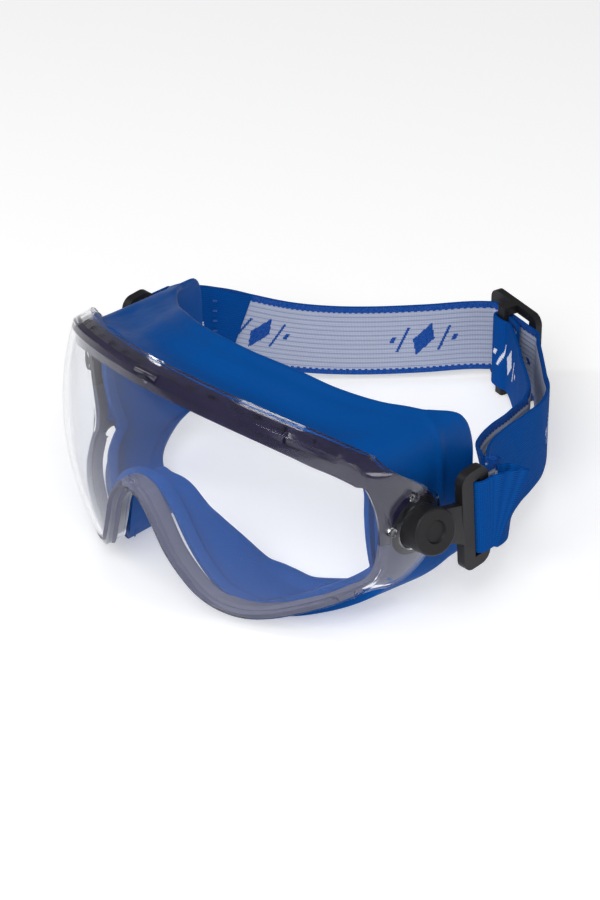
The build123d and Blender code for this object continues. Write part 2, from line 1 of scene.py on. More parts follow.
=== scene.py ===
"""Looks of the ventilated safety goggles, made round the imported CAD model.

Everything is worked out in millimetres with the CAD's own formulas and turned into metres when a
mesh is made. "back" is the distance behind the lens's top front edge, +X is the wearer's left.
"""

import bmesh
import bpy
import numpy as np
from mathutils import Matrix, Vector


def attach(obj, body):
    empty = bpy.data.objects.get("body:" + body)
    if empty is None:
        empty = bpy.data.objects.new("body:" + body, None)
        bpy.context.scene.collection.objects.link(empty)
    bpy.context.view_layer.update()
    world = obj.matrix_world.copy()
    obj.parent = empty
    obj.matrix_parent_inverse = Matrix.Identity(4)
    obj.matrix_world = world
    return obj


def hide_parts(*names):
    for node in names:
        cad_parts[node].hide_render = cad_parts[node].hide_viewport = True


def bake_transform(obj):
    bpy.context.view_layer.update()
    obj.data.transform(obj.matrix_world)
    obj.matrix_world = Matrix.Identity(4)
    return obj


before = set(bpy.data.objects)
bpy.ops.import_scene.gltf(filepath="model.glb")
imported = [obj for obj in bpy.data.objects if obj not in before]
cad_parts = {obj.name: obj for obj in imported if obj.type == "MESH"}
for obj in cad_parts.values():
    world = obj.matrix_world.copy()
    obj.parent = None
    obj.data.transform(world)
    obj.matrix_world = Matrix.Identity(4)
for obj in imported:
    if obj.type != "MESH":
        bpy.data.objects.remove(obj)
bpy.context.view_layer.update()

MM = 0.001
DATUM_Y = -93.6

# ---- lens ----------------------------------------------------------------------------------------
HALF_WIDTH, DEPTH, AXIS_BACK, FULL_Z = 78.2, 61.4, 52.6, 47.0
WIDTH_BOW, DEPTH_BOW = 200.0, 227.0
LENS_WALL = 1.8
CORNER_ANGLE = 68.0     # degrees round the shell where the window's top and bottom edges end
RIM_DEPTH = 7.8
# Degrees round the shell and height.
WINDOW_TOP = ((0, 90.2), (12, 89.7), (25.4, 87.8), (38, 84.7), (50, 80.4), (60, 75.4), (68, 70.6))
WINDOW_LOW = (
    (0, 46.2), (2.4, 45.3), (4.6, 41.8), (7.0, 36.0), (10.0, 26.5), (13.5, 18.6), (18.0, 11.0),
    (24.0, 6.2), (32.4, 4.4), (42.0, 6.6), (51.4, 10.6), (60.0, 13.8), (68.0, 17.2),
)
# Height and degrees round the shell.
WINDOW_SIDE = (
    (17.2, 68.0), (21.0, 73.4), (26.0, 76.3), (34.0, 77.2), (44.0, 76.8), (52.0, 75.4), (60.0, 72.9),
    (70.6, 68.0),
)
# The wing's rear edge, from the window's top corner round to its bottom corner: back and height.
WING_EDGE = (
    (38.3, 71.3), (41.5, 66.4), (46.8, 62.2), (53.5, 57.0), (59.0, 51.8), (62.2, 48.0), (62.9, 43.0),
    (62.9, 35.0), (62.4, 29.6), (60.2, 26.2), (56.0, 22.4), (50.0, 18.9), (44.0, 17.2), (38.7, 16.6),
)
HUB = Vector((86.8, 51.1 + DATUM_Y, 43.1))
HUB_AXIS = Vector((0.962, -0.140, 0.235)).normalized()
HUB_HOLE_R = 8.9
HUB_HOLE_DEPTH, HUB_HOLE_AHEAD = 16.0, 3.0
CREASE_LIFT = 0.3       # the bead along the window's sides
EDGE_LIMIT = 1.4        # a point on a sharp edge moves at most this many times the height asked for

# ---- frame ---------------------------------------------------------------------------------------
FRAME_WALL, FRAME_GAP = 1.6, 0.5
# The width of its face along each edge of the window, in the middle and at the corners.
FRAME_FACE = {"top": (5.4, 8.4), "side": (2.4, 2.4), "low": (3.2, 3.6)}
# It is smoke-coloured below FRAME_SPLIT_Z, on the wings below WING_SPLIT_Z, and all round the nose.
FRAME_SPLIT_Z, WING_SPLIT_Z = 50.0, 37.0
WING_X = 69.0
NOSE_SMOKE_X, NOSE_SMOKE_Z = 16.0, 66.0
MM_PER_DEGREE = 1.28     # along the shell, near enough to measure the frame's face by
VENT_PITCH, VENTS_A_SIDE, VENT_R = 8.0, 7, 1.6
VENT_HEIGHT, VENT_DISH = 0.35, 1.4
VENT_BACK = 12.6        # behind the lens's front edge
TAB_AT, TAB_SIZE, TAB_ROUND = (0, DATUM_Y + 0.4, 89.0), (11.0, 2.6, 3.6), 0.9

# ---- clear studs ---------------------------------------------------------------------------------
STUD_DISH = 0.4
HUB_STUD_R, HUB_STUD_HEIGHT = 1.7, 1.6
HUB_STUD_REACH = 11.0
HUB_STUD_SPOKES = (98, 178)         # degrees about the hub's axis
NOSE_STUD_Z, NOSE_STUD_R, NOSE_STUD_HEIGHT = 49.6, 2.8, 1.5
BROW_STUD_Z, BROW_STUD_R, BROW_STUD_HEIGHT = 88.2, 1.9, 0.9

# ---- skirt ---------------------------------------------------------------------------------------
# Half outline at back 0: x and height.
SKIRT_FRONT = (
    (0, 88.4), (16, 87.6), (30, 85.8), (42, 82.9), (52, 79.6), (59.5, 75.4), (65, 70.4), (69.2, 64.0),
    (71.2, 56.0), (71.6, 46.0), (71.4, 36.0), (70.6, 26.0), (69.4, 19.6), (66, 15.5), (60, 11.6), (54, 8.0),
    (45, 3.2), (37, 0.6), (31, 1.8), (25, 5.5), (20.4, 12.6), (15.5, 23.0), (12.2, 31.6), (9.5, 38.0),
    (5.4, 43.0), (0, 44.4),
)
# Half outline at back REAR_BACK: x and height, then how far back the lip ends there.
SKIRT_REAR = (
    (0, 88.9, 34.5), (16, 86.4, 36.7), (30, 80.9, 42.8), (40.4, 74.4, 50.0), (51.2, 71.2, 59.0),
    (59.4, 70.6, 68.2), (64.8, 68.6, 80.0), (67.6, 64.4, 84.6), (69.0, 56.0, 86.8), (69.2, 46.0, 87.3),
    (69.0, 36.0, 87.2), (68.7, 22.0, 86.0), (68.2, 10.0, 82.0), (66, 4.6, 69.0), (60.5, 2.8, 56.0),
    (54, 1.4, 50.0), (46, 0.4, 45.5), (40, -0.2, 42.0), (34, 1.0, 39.6), (29, 4.4, 35.5), (24.6, 10.0, 31.4),
    (20, 19.0, 25.4), (16.2, 27.0, 19.6), (13, 33.6, 15.0), (7.6, 40.6, 12.3), (0, 43.0, 10.0),
)
REAR_BACK = 90
SKIRT_WALL = 2.2
SKIRT_GAP = 2.3         # from the lens's outer face to the skirt's front edge
# The collar's section: how far inward, and how far ahead of the wall.
SKIRT_COLLAR = ((4.3, 2.6), (4.3, 1.3), (4.3, 0.0), (3.0, 0.0), (1.6, 0.0), (0.6, 0.0))

# ---- strap ---------------------------------------------------------------------------------------
STRAP_WIDTH, STRAP_THICK = 30.0, 1.3
STRAP_FOOT = 3.8        # height of the strap's lower edge at the slider
BAR = Vector((83.8, 72.4 + DATUM_Y, 38.1))
BAR_LEAN = np.radians(4.5)
SLOT_OFFSET = 0.7       # the fold's reach behind the bar's middle
# Each run's stations: x, back, height of the lower edge, and degrees of lean towards the head.
NEAR_RUN = (
    (87.0, 82.0, 22.8, 8), (85.4, 88.0, 22.0, 13), (81.0, 94.0, 21.0, 16), (73.5, 103.6, 18.9, 15),
    (67.3, 115.0, 16.7, 11), (62.7, 126.0, 15.0, 7), (56.6, 138.4, 12.8, 2), (47.3, 151.2, 10.0, 0),
    (37.6, 160.8, 8.0, 0), (25.6, 172.3, 6.0, 0), (16.6, 180.7, 4.7, 0), (10.0, 187.0, STRAP_FOOT, 0),
)
FAR_RUN = (
    (-19.0, 191.0, STRAP_FOOT, 0), (-25.0, 185.0, 3.6, 0), (-35.0, 172.5, 3.2, 0), (-49.0, 156.5, 3.0, 0),
    (-62.0, 142.0, 4.0, 0), (-74.0, 127.5, 7.0, 0), (-82.5, 113.5, 12.0, 0), (-86.5, 101.0, 17.0, 0),
    (-87.6, 90.0, 21.0, 0), (-87.0, 82.0, 22.8, 0),
)
RETURN_RUN = (
    (80.6, 84.0, 22.6, 8), (77.5, 91.0, 21.6, 13), (70.4, 99.8, 19.6, 15), (63.6, 111.0, 17.2, 12),
    (58.2, 123.0, 15.0, 8), (51.4, 135.0, 12.6, 2), (42.4, 146.5, 9.8, 0), (32.4, 156.2, 7.8, 0),
    (22.5, 164.6, 6.2, 0), (14.0, 172.4, 4.8, 0), (9.5, 179.5, STRAP_FOOT, 0),
)
RETURN_SPLIT = 6        # the return run's station where the sewn end's own piece begins
TAIL_RUN = ((-82.3, 84.0, 22.6, 0), (-84.6, 90.0, 21.0, 0), (-84.4, 100.4, 17.0, 0), (-80.9, 112.4, 12.0, 0))
# The webbing's middle line round a clip's rear bar: x and distance back from the bar.
FOLD = ((2.8, 6.0), (2.75, 2.2), (1.9, 0.3), (0.0, -0.4), (-1.9, 0.3), (-2.75, 2.2), (-2.8, 6.0))
SLIDER_MIDDLE = Vector((-6.5, 190.8 + DATUM_Y, 0))
SLIDER_TURN = np.radians(-12.0)
BAR_OFFSET = 1.5 * STRAP_THICK + 0.6 + 1.3
HALF_BAR, WRAP = 2.3, 2.2           # of the slider's bar, and how far out the sewn end passes
RUN_IN = 9.5            # from the slider's middle to where the strap is straight


# ---- curves and meshes ---------------------------------------------------------------------------
def smooth(points, count):
    """That many evenly spaced points on a Catmull-Rom curve through these."""
    points = np.array(points, float)
    ends = np.vstack([2 * points[0] - points[1], points, 2 * points[-1] - points[-2]])
    fine = []
    for number in range(len(points) - 1):
        p0, p1, p2, p3 = ends[number:number + 4]
        t = np.linspace(0, 1, 24, endpoint=False)[:, None]
        fine.append(0.5 * (2 * p1 + (p2 - p0) * t + (2 * p0 - 5 * p1 + 4 * p2 - p3) * t ** 2
                           + (3 * p1 - p0 - 3 * p2 + p3) * t ** 3))
    fine.append(points[-1:])
    fine = np.vstack(fine)
    run = np.concatenate([[0], np.cumsum(np.linalg.norm(np.diff(fine, axis=0), axis=1))])
    at = np.linspace(0, run[-1], count)
    return np.stack([np.interp(at, run, fine[:, axis]) for axis in range(points.shape[1])], axis=1)


def step(low, high, value):
    """0 below the low value and 1 above the high one, with a smooth climb between them."""
    t = np.clip((value - low) / (high - low), 0, 1)
    return t * t * (3 - 2 * t)


def grid_faces(rows, columns, close_rows=False, close_columns=False):
    """Quads between the points of a grid, which may be closed either way."""
    faces = []
    for row in range(rows if close_rows else rows - 1):
        for column in range(columns if close_columns else columns - 1):
            below, above = row * columns, (row + 1) % rows * columns
            beside = (column + 1) % columns
            faces.append((below + column, below + beside, above + beside, above + column))
    return faces


def shade(made, sharp):
    """Smooth shading, except at edges sharper than this angle."""
    made.data.shade_smooth()
    made.data.set_sharp_from_angle(angle=np.radians(sharp))


def piece(name, points, faces, materials):
    """A mesh object from points in millimetres."""
    mesh = bpy.data.meshes.new(name)
    mesh.from_pydata((np.array(points, float) * MM).tolist(), [], faces)
    work = bmesh.new()
    work.from_mesh(mesh)
    bmesh.ops.recalc_face_normals(work, faces=work.faces)
    work.to_mesh(mesh)
    work.free()
    for material in materials:
        mesh.materials.append(material)
    made = bpy.data.objects.new(name, mesh)
    shade(made, 40)
    bpy.context.scene.collection.objects.link(made)
    return made


def settle(made):
    """Applies a piece's modifiers."""
    graph = bpy.context.evaluated_depsgraph_get()
    mesh = bpy.data.meshes.new_from_object(made.evaluated_get(graph))
    made.modifiers.clear()
    made.data = mesh
    return made


# ---- materials -----------------------------------------------------------------------------------
class Term:
    """A number in a material's node tree, so that a pattern reads as a formula."""

    def __init__(self, tree, socket):
        self.tree, self.socket = tree, socket

    def math(self, operation, *others):
        node = self.tree.nodes.new("ShaderNodeMath")
        node.operation = operation
        for place, value in enumerate((self, *others)):
            if isinstance(value, Term):
                self.tree.links.new(value.socket, node.inputs[place])
            else:
                node.inputs[place].default_value = value
        return Term(self.tree, node.outputs[0])

    def __add__(self, other):
        return self.math("ADD", other)

    def __sub__(self, other):
        return self.math("SUBTRACT", other)

    def __mul__(self, other):
        return self.math("MULTIPLY", other)

    def __truediv__(self, other):
        return self.math("DIVIDE", other)

    def under(self, other):
        return self.math("LESS_THAN", other)

    def over(self, other):
        return self.math("GREATER_THAN", other)

    def size(self):
        return self.math("ABSOLUTE")

    def sine(self):
        return self.math("SINE")

    def snap(self, pitch):
        return self.math("SNAP", pitch)

    def repeat(self, pitch):
        """This number wrapped into plus or minus half a pitch."""
        return self.math("WRAP", pitch / 2, -pitch / 2)

    def either(self, other):
        return self.math("MAXIMUM", other)

    def both(self, other):
        return self.math("MINIMUM", other)


class Finish:
    """A material with one Principled shader and helpers for its patterns."""

    def __init__(self, name, colour, roughness, **more):
        self.material = bpy.data.materials.new(name)
        self.material.use_nodes = True
        self.tree = self.material.node_tree
        self.shader = self.tree.nodes["Principled BSDF"]
        self.shader.inputs["Base Color"].default_value = (*colour, 1)
        self.shader.inputs["Roughness"].default_value = roughness
        for socket, value in more.items():
            self.shader.inputs[socket.replace("_", " ")].default_value = value

    def place(self, kind="Object"):
        return self.tree.nodes.new("ShaderNodeTexCoord").outputs[kind]

    def noise(self, scale, detail=2.0, stretch=(1, 1, 1)):
        mapping = self.tree.nodes.new("ShaderNodeMapping")
        mapping.inputs["Scale"].default_value = stretch
        self.tree.links.new(self.place(), mapping.inputs["Vector"])
        node = self.tree.nodes.new("ShaderNodeTexNoise")
        node.inputs["Scale"].default_value = scale
        node.inputs["Detail"].default_value = detail
        self.tree.links.new(mapping.outputs[0], node.inputs["Vector"])
        return Term(self.tree, node.outputs["Fac"])

    def uv(self):
        """Distances along and across, in millimetres."""
        node = self.tree.nodes.new("ShaderNodeSeparateXYZ")
        self.tree.links.new(self.place("UV"), node.inputs[0])
        return Term(self.tree, node.outputs[0]), Term(self.tree, node.outputs[1])

    def mix(self, share, first, second):
        node = self.tree.nodes.new("ShaderNodeMix")
        node.data_type = "RGBA"
        node.clamp_factor = True
        self.tree.links.new(share.socket, node.inputs[0])
        for place, value in ((6, first), (7, second)):
            if isinstance(value, tuple):
                node.inputs[place].default_value = (*value, 1)
            else:
                self.tree.links.new(value, node.inputs[place])
        return node.outputs[2]

    def colour(self, socket):
        self.tree.links.new(socket, self.shader.inputs["Base Color"])

    def roughness(self, term):
        self.tree.links.new(term.socket, self.shader.inputs["Roughness"])

    def bump(self, height, distance, strength=1.0):
        node = self.tree.nodes.new("ShaderNodeBump")
        node.inputs["Strength"].default_value = strength
        node.inputs["Distance"].default_value = distance * MM
        self.tree.links.new(height.socket, node.inputs["Height"])
        self.tree.links.new(node.outputs[0], self.shader.inputs["Normal"])


def clear_finish():
    """Clear polycarbonate that lets lamps through to what is behind it."""
    finish = Finish("lens_clear", (0.93, 0.94, 0.965), 0.02, IOR=1.3, Transmission_Weight=1.0)
    finish.roughness(finish.noise(90, 4) * 0.03 + 0.005)
    tree = finish.tree
    passed = tree.nodes.new("ShaderNodeBsdfTransparent")
    passed.inputs[0].default_value = (0.86, 0.87, 0.9, 1)
    rays = tree.nodes.new("ShaderNodeLightPath")
    chosen = tree.nodes.new("ShaderNodeMixShader")
    tree.links.new(rays.outputs["Is Shadow Ray"], chosen.inputs[0])
    tree.links.new(finish.shader.outputs[0], chosen.inputs[1])
    tree.links.new(passed.outputs[0], chosen.inputs[2])
    tree.links.new(chosen.outputs[0], tree.nodes["Material Output"].inputs[0])
    return finish.material


def moulded(name, colour, deep, roughness, coat, grain=900, depth=0.02, shine=0.5):
    """A moulded plastic: flow marks in its colour, uneven gloss and a fine grain."""
    finish = Finish(name, colour, roughness, Coat_Weight=coat, Coat_Roughness=0.06, Specular_IOR_Level=shine)
    finish.colour(finish.mix(finish.noise(55, 3, (1, 1, 0.4)), deep, colour))
    finish.roughness(finish.noise(140, 4) * 0.14 + (roughness - 0.07))
    finish.bump(finish.noise(grain, 3), depth)
    return finish.material


def rubber_finish():
    """The skirt's matt blue rubber."""
    finish = Finish("skirt_blue", (0, 0.06, 0.27), 0.5, Specular_IOR_Level=0.08)
    cloudy = finish.mix(finish.noise(38, 4), (0.0, 0.055, 0.25), (0.0, 0.072, 0.31))
    finish.colour(finish.mix(finish.noise(700, 2) * 0.35, cloudy, (0.001, 0.085, 0.35)))
    finish.roughness(finish.noise(220, 4) * 0.2 + 0.38)
    finish.bump(finish.noise(1600, 3), 0.03)
    return finish.material


def marks(along, across):
    """A woven row of slanted lozenges and short bars: 1 on the mark and 0 off it."""
    along, across = along.snap(0.45), across.snap(0.5)
    slanted = (along + across * 0.45).repeat(68.0)
    lozenge = ((slanted / 4.2).size() + (across / 7.0).size()).under(1.0)
    bars = ((slanted.size() - 8.0).size().under(0.6)).both(across.size().under(5.5))
    dots = ((slanted.size() - 12.0).size().under(0.9)).both(across.size().under(1.4))
    return lozenge.either(bars).either(dots)


def knit_finish(name, ground, light, mark, inside):
    """Elastic webbing with woven marks: plain outside; ribbed and blue-edged inside, with painted shade
    darkening the hollows between the ribs.
    """
    finish = Finish(name, ground, 0.85, Specular_IOR_Level=0.06)
    along, across = finish.uv()
    wales = (across * (2 * np.pi / 0.75)).sine()
    courses = (along * (2 * np.pi / 0.62) + wales * 1.3).sine()
    speckle = finish.noise(1500, 2)
    loops = wales * 0.25 + courses * 0.3 + speckle * 0.9
    shade = finish.mix(loops, ground, light)
    pattern = marks(along, across)
    if inside:
        # Painted shade: the hollows between the inner face's ribs are coloured darker.
        rib_hollow_shade = (across * (2 * np.pi / 2.0)).sine() * 0.5 + 0.5
        shade = finish.mix((rib_hollow_shade - 0.72) * 1.8 + speckle * 0.3 - 0.1, shade, (0.16, 0.2, 0.36))
        jagged = along.snap(1.2).repeat(2.4).size() * 0.35
        pattern = pattern.either((across.size() + jagged).over(12.6))
    shade = finish.mix(pattern, shade, mark)
    finish.colour(finish.mix((speckle - 0.35) * 0.5, shade, tuple(c * 0.55 for c in ground)))
    finish.roughness(speckle * 0.15 + 0.75)
    finish.bump(loops, 0.12, 0.8)
    return finish.material


lens_clear = clear_finish()
frame_violet = moulded("frame_violet", (0.012, 0.009, 0.038), (0.007, 0.005, 0.022), 0.16, 0.5)
# The vents' near-black colour is painted shade, standing in for the shade inside the frame's vent holes.
vent_painted_shade = moulded("frame_vent_painted_shade", (0.004, 0.003, 0.012), (0.002, 0.0015, 0.006), 0.25, 0.3)
frame_smoke = moulded("frame_smoke", (0.13, 0.135, 0.2), (0.095, 0.1, 0.15), 0.38, 0.0, shine=0.15)
clip_black = moulded("clip_black", (0.014, 0.014, 0.016), (0.008, 0.008, 0.009), 0.45, 0.0,
                     grain=1500, depth=0.05, shine=0.25)
skirt_blue = rubber_finish()
knit_blue = knit_finish("strap_knit_outside", (0.0, 0.042, 0.22), (0.001, 0.088, 0.36),
                        mark=(0.75, 0.77, 0.85), inside=False)
knit_grey = knit_finish("strap_knit_inside", (0.36, 0.40, 0.53), (0.5, 0.54, 0.66),
                        mark=(0.0, 0.06, 0.32), inside=True)
thread_blue = Finish("thread_blue", (0.008, 0.07, 0.33), 0.7).material


# ---- lens ----------------------------------------------------------------------------------------
def shell_axes(z):
    """The half width and depth of the lens's shell at this height."""
    bow = (z - FULL_Z) ** 2
    return HALF_WIDTH - bow / WIDTH_BOW, DEPTH - bow / DEPTH_BOW


def shell(angle, z, inset=0.0):
    """The point on the lens's shell at this angle from the front and height."""
    half_width, depth = shell_axes(z)
    angle = np.radians(angle)
    x = (half_width - inset) * np.sin(angle)
    return np.array([x, DATUM_Y + AXIS_BACK - (depth - inset) * np.cos(angle), z])


def shell_x(y, z):
    """The shell's x at this y and height, on the wearer's left."""
    half_width, depth = shell_axes(z)
    share = (DATUM_Y + AXIS_BACK - y) / depth
    return half_width * np.sqrt(max(1 - share ** 2, 0))


def packed(count, pull):
    """Shares from 0 to 1 that crowd towards both ends."""
    t = np.linspace(0, 1, count)
    return (1 - pull) * t + pull * (1 - np.cos(np.pi * t)) / 2


def lens_points():
    """The window's grid of points, its columns in degrees and its rows as shares of its height."""
    columns = np.concatenate([np.linspace(0, 24, 61)[:-1], np.linspace(24, CORNER_ANGLE, 45)])
    columns = np.concatenate([-columns[:0:-1], columns])
    rows = packed(57, 0.85)
    top = smooth(WINDOW_TOP, 400)
    low = smooth(WINDOW_LOW, 400)
    side = smooth(WINDOW_SIDE, 400)
    window = np.zeros((len(rows), len(columns), 3))
    for number, column in enumerate(columns):
        high_z = np.interp(abs(column), top[:, 0], top[:, 1])
        low_z = np.interp(abs(column), low[:, 0], low[:, 1])
        for row, share in enumerate(rows):
            z = low_z + (high_z - low_z) * share
            edge_z = side[0, 0] + (side[-1, 0] - side[0, 0]) * share
            stretch = np.interp(edge_z, side[:, 0], side[:, 1]) / CORNER_ANGLE
            reach = abs(column) / CORNER_ANGLE
            angle = column * (1 + (stretch - 1) * reach ** 3)
            window[row, number] = shell(angle, z)
    return window, columns, rows


def ring_indices(rows, columns):
    """The window grid's boundary as row, column and edge, from the lower corner on the wearer's right."""
    last_row, last = rows - 1, columns - 1
    ring = [(0, c, "low") for c in range(last)]
    ring += [(r, last, "side") for r in range(last_row)]
    ring += [(last_row, c, "top") for c in range(last, 0, -1)]
    ring += [(r, 0, "side") for r in range(last_row, 0, -1)]
    return ring


def band_rows(window, columns, rows, ring, shares):
    """Rows of points from the window's edge back to the lens's rear edge, one for each share."""
    wing = smooth(WING_EDGE, 400)
    wing_run = np.linspace(0, 1, 400)
    rear = []
    for row, column, part in ring:
        start = window[row, column]
        if part == "top":
            reach = abs(columns[column]) / CORNER_ANGLE
            rear.append((start + np.array([0, RIM_DEPTH, 1.3 - 0.6 * reach ** 3]), 0.0))
        elif part == "low":
            rear.append((start + np.array([0, RIM_DEPTH, -0.3]), 0.0))
        else:
            share = 1 - rows[row]
            y = DATUM_Y + np.interp(share, wing_run, wing[:, 0])
            z = np.interp(share, wing_run, wing[:, 1])
            free = step(0, 0.16, share) * step(0, 0.16, 1 - share)
            x = (1 - free) * abs(start[0]) + free * shell_x(y, z)
            rear.append((np.array([np.sign(start[0]) * x, y, z]), free))
    made = []
    for share in shares:
        line = []
        for (row, column, _), (end, free) in zip(ring, rear):
            start = window[row, column]
            point = start + (end - start) * share
            if free > 0:
                point[0] = (1 - free) * point[0] + free * np.sign(start[0]) * shell_x(point[1], point[2])
            line.append(point.tolist())
        made.append(line)
    return made


def soften(made, chosen, rounds):
    """Rounds off a piece's creases by averaging these vertices with their neighbours."""
    work = bmesh.new()
    work.from_mesh(made.data)
    work.verts.ensure_lookup_table()
    soft = [work.verts[index] for index in chosen]
    for _ in range(rounds):
        bmesh.ops.smooth_vert(work, verts=soft, factor=0.5, use_axis_x=True, use_axis_y=True, use_axis_z=True)
    work.to_mesh(made.data)
    work.free()


def raised(made, chosen, height):
    """Moves these vertices out along their normals, or in if the height is negative."""
    work = bmesh.new()
    work.from_mesh(made.data)
    work.normal_update()
    work.verts.ensure_lookup_table()
    moves = []
    for index in chosen:
        vert = work.verts[index]
        moves.append((vert, vert.normal * min(vert.calc_shell_factor(), EDGE_LIMIT)))
    for vert, way in moves:
        vert.co += way * height * MM
    work.to_mesh(made.data)
    work.free()


def outward_faces(made):
    """Turns all faces outwards if most of them look back."""
    if sum(p.normal.y * p.area for p in made.data.polygons) > 0:
        made.data.flip_normals()


def thickened(made, wall, even=True):
    """Gives an outward-facing sheet a wall on its inner side."""
    modifier = made.modifiers.new("wall", "SOLIDIFY")
    modifier.thickness = wall * MM
    modifier.offset = -1
    modifier.use_even_offset = even
    modifier.use_rim = True
    return settle(made)


def make_lens():
    """The clear shell: the window, a rounded crease and the band behind it, with the two hub holes."""
    window, columns, rows = lens_points()
    count_rows, count_columns = window.shape[:2]
    ring = ring_indices(count_rows, count_columns)
    shares = packed(17, 0.6)[1:]
    points = window.reshape(-1, 3).tolist()
    faces = grid_faces(count_rows, count_columns)
    edge = [row * count_columns + column for row, column, _ in ring]
    near_crease = set(edge)
    previous = edge
    for number, line in enumerate(band_rows(window, columns, rows, ring, shares)):
        current = list(range(len(points), len(points) + len(line)))
        points += line
        for at in range(len(ring)):
            after = (at + 1) % len(ring)
            faces.append((previous[at], current[at], current[after], previous[after]))
        if number < 2:
            near_crease.update(current)
        previous = current
    for row in (1, 2, count_rows - 3, count_rows - 2):
        near_crease.update(row * count_columns + column for column in range(count_columns))
    for row in range(count_rows):
        near_crease.update(row * count_columns + column for column in (1, count_columns - 2))
    lens = piece("lens_shell", points, faces, [lens_clear])
    outward_faces(lens)
    soften(lens, near_crease, 2)
    raised(lens, [index for index, (_, _, part) in zip(edge, ring) if part == "side"], CREASE_LIFT)
    thickened(lens, LENS_WALL)
    for sign in (-1, 1):
        cut_hub_hole(lens, sign)
    shade(lens, 35)
    return lens


def inner_edge(window, columns, ring):
    """Angle and height of the window's edge and of the frame's edge inside it, for each point of the ring."""
    flat = []
    for row, column, _ in ring:
        x, y, z = window[row, column]
        half_width, depth = shell_axes(z)
        angle = np.degrees(np.arctan2(x / half_width, (AXIS_BACK + DATUM_Y - y) / depth))
        flat.append((angle, z))
    flat = np.array(flat)
    scaled = flat * np.array([MM_PER_DEGREE, 1.0])
    along = np.zeros_like(scaled)
    for reach in range(1, 6):
        along += np.roll(scaled, -reach, axis=0) - np.roll(scaled, reach, axis=0)
    inward = np.stack([-along[:, 1], along[:, 0]], axis=1)
    inward /= np.linalg.norm(inward, axis=1, keepdims=True)
    width = []
    for at, (_, column, part) in enumerate(ring):
        reach = abs(columns[column]) / CORNER_ANGLE
        first, last = FRAME_FACE[part]
        width.append(first + (last - first) * reach ** 3)
        if part == "side":
            inward[at] = (-np.sign(flat[at, 0]), 0)
        elif reach > 0.85:
            inward[at] = (0, -1 if part == "top" else 1)
    spots = flat + inward * np.array(width)[:, None] / np.array([MM_PER_DEGREE, 1.0])
    top, low = np.array(WINDOW_TOP), np.array(WINDOW_LOW)
    for at, (_, _, part) in enumerate(ring):
        if part == "side":
            angle = abs(spots[at, 0])
            ceiling = np.interp(angle, top[:, 0], top[:, 1]) - FRAME_FACE["top"][1]
            ground = np.interp(angle, low[:, 0], low[:, 1]) + FRAME_FACE["low"][1]
            spots[at, 1] = np.clip(spots[at, 1], ground, ceiling)
    for _ in range(6):
        spots = (np.roll(spots, 1, axis=0) + spots + np.roll(spots, -1, axis=0)) / 3
    return flat, spots


def make_frame():
    """The frame inside the lens: its face round the window and the band under the lens's rim."""
    window, columns, rows = lens_points()
    ring = ring_indices(*window.shape[:2])
    flat, inner = inner_edge(window, columns, ring)
    lines = []
    for share in (1.0, 0.92, 0.6, 0.3, 0.1):
        lines.append([shell(angle, z).tolist() for angle, z in flat + (inner - flat) * share])
    band_shares = np.concatenate([[0], packed(13, 0.6)[1:] * 0.96])
    lines += band_rows(window, columns, rows, ring, band_shares)
    count = len(ring)
    points = np.array(lines).reshape(-1, 3)
    made = piece("goggle_frame", points, grid_faces(len(lines), count, close_columns=True),
                 [frame_violet, frame_smoke])
    outward_faces(made)
    soften(made, range(4 * count, 7 * count), 2)
    corners = []
    for at, (row, column, _) in enumerate(ring):
        if abs(columns[column]) > CORNER_ANGLE - 6 and not 4 <= row <= len(rows) - 5:
            corners.append(at)
    soften(made, [line * count + at for line in range(3, len(lines) - 1) for at in corners], 6)
    raised(made, range(len(points)), -(LENS_WALL + FRAME_GAP))
    for polygon in made.data.polygons:
        x, z = abs(polygon.center.x), polygon.center.z
        at_nose = x < NOSE_SMOKE_X * MM and z < NOSE_SMOKE_Z * MM
        split = WING_SPLIT_Z if x > WING_X * MM else FRAME_SPLIT_Z
        polygon.material_index = int(z < split * MM or at_nose)
    thickened(made, FRAME_WALL, even=False)
    shade(made, 35)
    return made


def mirrored(vector, sign):
    """This vector on the wearer's left (1) or right (-1)."""
    return Vector((sign * vector.x, vector.y, vector.z))


def cut_hub_hole(made, sign):
    """Cuts the round hole for a pivot base through a piece."""
    turn = mirrored(HUB_AXIS, sign).to_track_quat("Z", "Y")
    profile = [(HUB_HOLE_R, -HUB_HOLE_DEPTH), (HUB_HOLE_R, HUB_HOLE_AHEAD)]
    cutter = revolved("hub_cutter", profile, mirrored(HUB, sign), turn, lens_clear)
    cut = made.modifiers.new("hole", "BOOLEAN")
    cut.operation = "DIFFERENCE"
    cut.solver = "EXACT"
    cut.object = cutter
    bpy.context.view_layer.update()
    settle(made)
    bpy.data.objects.remove(cutter)


def revolved(name, profile, centre, turn, material, segments=64):
    """A closed body of revolution from (radius, height) pairs about a local Z axis through this centre."""
    points = []
    for radius, height in profile:
        for number in range(segments):
            angle = 2 * np.pi * number / segments
            points.append(centre + turn @ Vector((radius * np.cos(angle), radius * np.sin(angle), height)))
    faces = grid_faces(len(profile), segments, close_columns=True)
    faces.append(tuple(range(segments))[::-1])
    faces.append(tuple(range(len(points) - segments, len(points))))
    return piece(name, [tuple(p) for p in points], faces, [material])


def dome_profile(radius, height, dish):
    """A low stud with a rounded shoulder and a small dish in its top."""
    shoulder = [(radius, -1.2), (radius, height * 0.35)]
    for angle in np.linspace(0, np.pi / 2, 7)[1:]:
        inward, up = 1 - np.cos(angle), np.sin(angle)
        shoulder.append((radius - height * 0.65 * inward, height * (0.35 + 0.65 * up)))
    return shoulder + [(radius * 0.45, height), (radius * 0.3, height - dish), (0.05, height - dish)]


